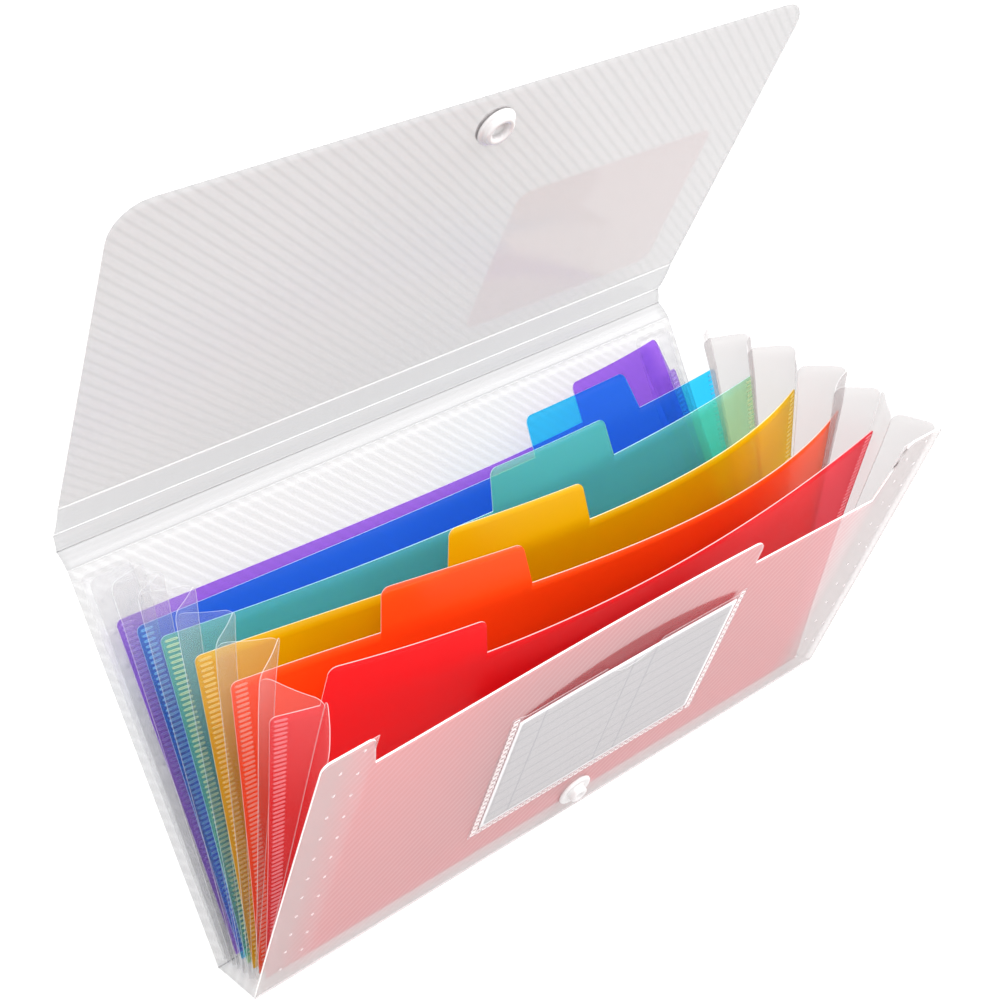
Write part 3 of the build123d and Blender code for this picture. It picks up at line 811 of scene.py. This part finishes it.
# press snap: white glossy plastic, four turned profiles of radius and height
snap = {
    "colour": (0.64, 0.62, 0.62), "cloud": (0.60, 0.575, 0.575), "rough": (0.15, 0.28), "coat": 0.6, "coatRough": 0.06,
    "ior": 1.5, "cloudSize": 120.0, "grainSize": 2500.0, "studAt": (0.0, 13.5),
    "stud": [(0.0, 0.0), (6.0, 0.0), (6.6, 0.1), (6.75, 0.4), (6.7, 0.85), (6.4, 1.2), (5.9, 1.35), (5.0, 1.3),
             (4.3, 1.15), (3.7, 1.2), (3.45, 1.5), (3.4, 2.4), (3.35, 3.0), (3.1, 3.4), (2.6, 3.6), (2.0, 3.55),
             (1.5, 3.3), (1.2, 2.9), (0.0, 2.8)],
    "studCap": [(0.0, -1.2), (2.0, -1.2), (4.5, -1.15), (5.5, -1.0), (5.95, -0.75), (6.0, -0.5), (5.9, -0.32),
                (0.0, -0.31)],
    "socket": [(0.0, 0.3), (6.3, 0.3), (6.75, 0.45), (6.9, 0.75), (6.85, 1.1), (6.5, 1.35), (5.9, 1.45), (5.55, 1.6),
               (5.4, 2.1), (5.3, 2.7), (4.95, 3.1), (4.3, 3.25), (3.6, 3.15), (3.1, 2.8), (2.9, 2.3), (2.8, 1.4),
               (2.7, 1.1), (0.0, 1.1)],
    "socketCap": [(0.0, -1.3), (3.0, -1.28), (5.4, -1.15), (6.4, -0.9), (6.75, -0.6), (6.7, -0.32), (0.0, -0.31)],
}


def snapMaterial():
    material, tree, shader = newMaterial("snapPlastic", IOR=snap["ior"], Coat_Weight=snap["coat"],
                                         Coat_Roughness=snap["coatRough"])
    frost = placeGroup(tree, frostGroup, Cloud_Size=snap["cloudSize"], Grain_Size=snap["grainSize"])
    feed(tree, shader, Base_Color=blendColour(tree, frost["Cloud"], snap["cloud"], snap["colour"]),
         Roughness=scaled(tree, frost["Grain"], noiseSpan, snap["rough"]))
    return material


snapMat = snapMaterial()
for part, name, sheet, spot, body, cadNode in (
        ("stud", "snapStud", frontFrame, snap["studAt"], "front", "snap_stud"),
        ("studCap", "snapStudCap", frontFrame, snap["studAt"], "front", "snap_stud_cap"),
        ("socket", "snapSocket", flapFrame, flap["snap"], "flap", "snap_socket"),
        ("socketCap", "snapSocketCap", flapFrame, flap["snap"], "flap", "snap_socket_cap")):
    settle(turned(name, sheet, spot, snap[part]), body, "snap", [snapMat], cadNode)
print("snaps done")

# card pocket: clear film welded on three sides, with a thumb notch
pocket = {"wide": 103.0, "high": 66.0, "rise": 25.5, "rim": 3.2, "space": 0.7, "film": 0.25, "filmGap": 0.13,
          "riseStart": 2.2, "riseWide": 3.0, "notchChord": 25.0, "notchDepth": 6.5, "columns": 60, "notchColumns": 24,
          "rows": 44, "clear": 0.85, "colour": (0.50, 0.48, 0.49), "weldColour": (0.95, 0.93, 0.93), "weldClear": 0.2,
          "sideRing": (2.2, 1.6, 0.5, 0.2), "footRing": (1.6, 2.2, 0.5, 0.2), "ringPitch": 2.4, "ringInset": 1.8,
          "ringLift": 0.12, "sideEnds": (2.0, 1.0), "footEnds": (4.4, 3.0)}
halfPocket, halfNotch = pocket["wide"] / 2, pocket["notchChord"] / 2
pocketFoot, pocketTop = pocket["rise"], pocket["rise"] + pocket["high"]
notchRadius = (pocket["notchDepth"] ** 2 + halfNotch**2) / (2 * pocket["notchDepth"])


# film lift = rises smoothly from the welded rim to stand clear of the card
def filmLift(flat):
    inside = np.minimum(halfPocket - np.abs(flat[:, 0]), flat[:, 1] - pocketFoot)
    t = np.clip((inside - pocket["riseStart"]) / pocket["riseWide"], 0, 1)
    return frontLift(flat) + halfCover + pocket["filmGap"] + pocket["space"] * t * t * (3 - 2 * t)


evenX = np.linspace(-halfPocket, halfPocket, pocket["columns"])
notchX = np.linspace(-halfNotch, halfNotch, pocket["notchColumns"])
pocketX = np.unique(np.round(np.concatenate([evenX, notchX]), 3))
arc = np.sqrt(np.maximum(notchRadius**2 - pocketX**2, 0)) - (notchRadius - pocket["notchDepth"])
notch = np.where(np.abs(pocketX) < halfNotch, arc, 0.0)
flat, quads = oneTier(pocketX, pocketFoot, pocketX, pocketTop - notch, pocket["rows"])
film = makeSheet("cardPocket", place(frontFrame, flat, filmLift(flat)), quads, flat, pocket["film"])
settle(film, "front", "film", [filmMaterial("pocketFilm", pocket["clear"], pocket["colour"]), filmEdge], "card_pocket")

pocketWeldMat = edgeMaterial("pocketWeld", pocket["weldColour"], pocket["weldClear"])
sideV = np.arange(pocketFoot + pocket["sideEnds"][0], pocketTop - pocket["sideEnds"][1], pocket["ringPitch"])
footU = np.arange(-halfPocket + pocket["footEnds"][0], halfPocket - pocket["footEnds"][1], pocket["ringPitch"])
sideU, footV = halfPocket - pocket["ringInset"], pocketFoot + pocket["ringInset"]
for label, u, v, shape in (("Left", -sideU, sideV, "sideRing"), ("Right", sideU, sideV, "sideRing"),
                           ("Foot", footU, footV, "footRing")):
    rings = scatter("pocketWeld" + label, frontFrame, pairs(u, v), *ringTemplate(*pocket[shape]),
                    lambda f: filmLift(f) + pocket["ringLift"])
    settle(rings, "front", "film", [pocketWeldMat])

# index card: ruled paper, paler in a band round its edge, loose in the pocket
card = {"high": 59.0, "gap": 0.6, "thick": 0.35, "columns": 30, "rows": 20, "rough": 0.7, "ior": 1.45,
        "colour": (0.465, 0.45, 0.46), "fleck": (0.50, 0.485, 0.495), "cloudSize": 40.0, "grainSize": 3000.0,
        "grainDepth": 0.01,
        "lineColour": (0.30, 0.30, 0.33), "lineShare": 0.6, "lines": 10, "lineTurn": 1.571, "lineWide": 0.45,
        "columnAt": (0.12, 0.52, 0.62), "columnWide": 0.3, "columnCorner": 0.1, "columnSoft": 0.2,
        "border": 1.3, "borderColour": (0.85, 0.85, 0.86), "borderCorner": 1.0, "borderSoft": 0.3}
halfCard = halfPocket - pocket["rim"] - card["gap"]
cardFoot = pocketFoot + pocket["rim"] + card["gap"]
cardMiddle, halfHigh = cardFoot + card["high"] / 2, card["high"] / 2


def cardMaterial():
    material, tree, shader = newMaterial("cardPaper", Roughness=card["rough"], IOR=card["ior"])
    grain = placeGroup(tree, frostGroup, Cloud_Size=card["cloudSize"], Grain_Size=card["grainSize"])["Grain"]
    paper = blendColour(tree, grain, card["colour"], card["fleck"])
    ruled = placeGroup(tree, lineGroup, Flat=flatUv(tree), Turn=card["lineTurn"], Pitch=card["high"] / card["lines"],
                       Width=card["lineWide"])["Line"]
    for share in card["columnAt"]:
        column = flatBox(tree, halfCard * (2 * share - 1), cardMiddle, card["columnWide"], halfHigh,
                         card["columnCorner"], card["columnSoft"])
        ruled = calc(tree, "MAXIMUM", ruled, column["Inside"])
    printed = blendColour(tree, scaled(tree, ruled, (0, 1), (0, card["lineShare"])), paper, card["lineColour"])
    # paler in a band round the card's edge
    inner = flatBox(tree, 0.0, cardMiddle, halfCard - card["border"], halfHigh - card["border"],
                    card["borderCorner"], card["borderSoft"])
    feed(tree, shader, Base_Color=blendColour(tree, inner["Inside"], card["borderColour"], printed),
         Normal=bump(tree, grain, card["grainDepth"]))
    return material


cardX = np.linspace(-halfCard, halfCard, card["columns"])
flat, quads = oneTier(cardX, cardFoot, cardX, cardFoot + card["high"], card["rows"])
cardPoints = place(frontFrame, flat, frontLift(flat) + halfCover + pocket["space"] / 2)
cardPiece = makeSheet("indexCard", cardPoints, quads, flat, card["thick"], False)
settle(cardPiece, "card", "card", [cardMaterial()], "index_card")
print("pocket done")

# stage: pale floor just under the base, soft light and the camera; lamps as place, size in metres and power
stage = {"floorHalf": 6000.0, "floorDrop": 0.02, "floorColour": (0.17, 0.17, 0.17), "floorCloud": (0.20, 0.20, 0.20),
         "floorRough": 0.9, "floorGlow": 0.86, "cloudSize": 2.0, "grainSize": 40.0, "sky": 0.95,
         "throughBounces": 48, "bounces": 6, "clamp": 1.6}
lamps = {"key": ((-0.9, -1.3, 1.7), 1.2, 30.0), "top": ((0.3, 0.0, 1.9), 1.4, 22.0),
         "fill": ((1.2, -1.1, 1.4), 1.2, 38.0), "rear": ((-0.5, 1.6, 1.5), 1.4, 9.0)}
eye = {"spot": (-0.32947, -0.40502, 0.38015), "lens": 65.235, "sensor": 36.0,
       "right": (0.75189172, -0.65369229, -0.0857043), "down": (-0.35282457, -0.28915513, -0.88988995),
       "ahead": (0.55693237, 0.69933947, -0.44805205)}

floorSide = np.linspace(-stage["floorHalf"], stage["floorHalf"], 3)
u, v = (a.ravel() for a in np.meshgrid(floorSide, floorSide))
floorPoints = np.column_stack([u, v, np.full_like(u, -stage["floorDrop"])])
floor = makePiece("floor", floorPoints, gridQuads(np.arange(9).reshape(3, 3)))
floorMat, tree, shader = newMaterial("paleFloor", Roughness=stage["floorRough"], Emission_Color=(*white, 1.0),
                                     Emission_Strength=stage["floorGlow"])
floorNoise = placeGroup(tree, frostGroup, Cloud_Size=stage["cloudSize"], Grain_Size=stage["grainSize"])
feed(tree, shader, Base_Color=blendColour(tree, floorNoise["Cloud"], stage["floorColour"], stage["floorCloud"]))
floor.data.materials.append(floorMat)

world = bpy.data.worlds.new("studio")
scene.world = world
world.use_nodes = True
feed(world.node_tree, world.node_tree.nodes["Background"], Color=(*white, 1.0), Strength=stage["sky"])


# where a lamp or the camera stands, with its own right, up and rear directions
def stand(name, data, spot, right, up, rear):
    thing = bpy.data.objects.new(name, data)
    scene.collection.objects.link(thing)
    turn = Matrix(np.column_stack([right, up, rear]).tolist()).to_4x4()
    thing.matrix_world = Matrix.Translation(spot) @ turn
    return thing


for name, (spot, size, power) in lamps.items():
    light = bpy.data.lights.new(name, "AREA")
    light.size, light.energy = size, power
    toward = -np.array(spot) / np.linalg.norm(spot)
    right = np.cross(toward, [0, 0, 1.0])
    right /= np.linalg.norm(right)
    stand(name, light, spot, right, np.cross(right, toward), -toward)

cameraData = bpy.data.cameras.new("photoCamera")
cameraData.lens, cameraData.sensor_width = eye["lens"], eye["sensor"]
scene.camera = stand("photoCamera", cameraData, eye["spot"], eye["right"],
                     -np.array(eye["down"]), -np.array(eye["ahead"]))
scene.view_settings.view_transform = "Standard"
scene.cycles.transparent_max_bounces = stage["throughBounces"]
scene.cycles.max_bounces = stage["bounces"]
scene.cycles.sample_clamp_direct = stage["clamp"]
scene.cycles.sample_clamp_indirect = stage["clamp"]
print("stage done")
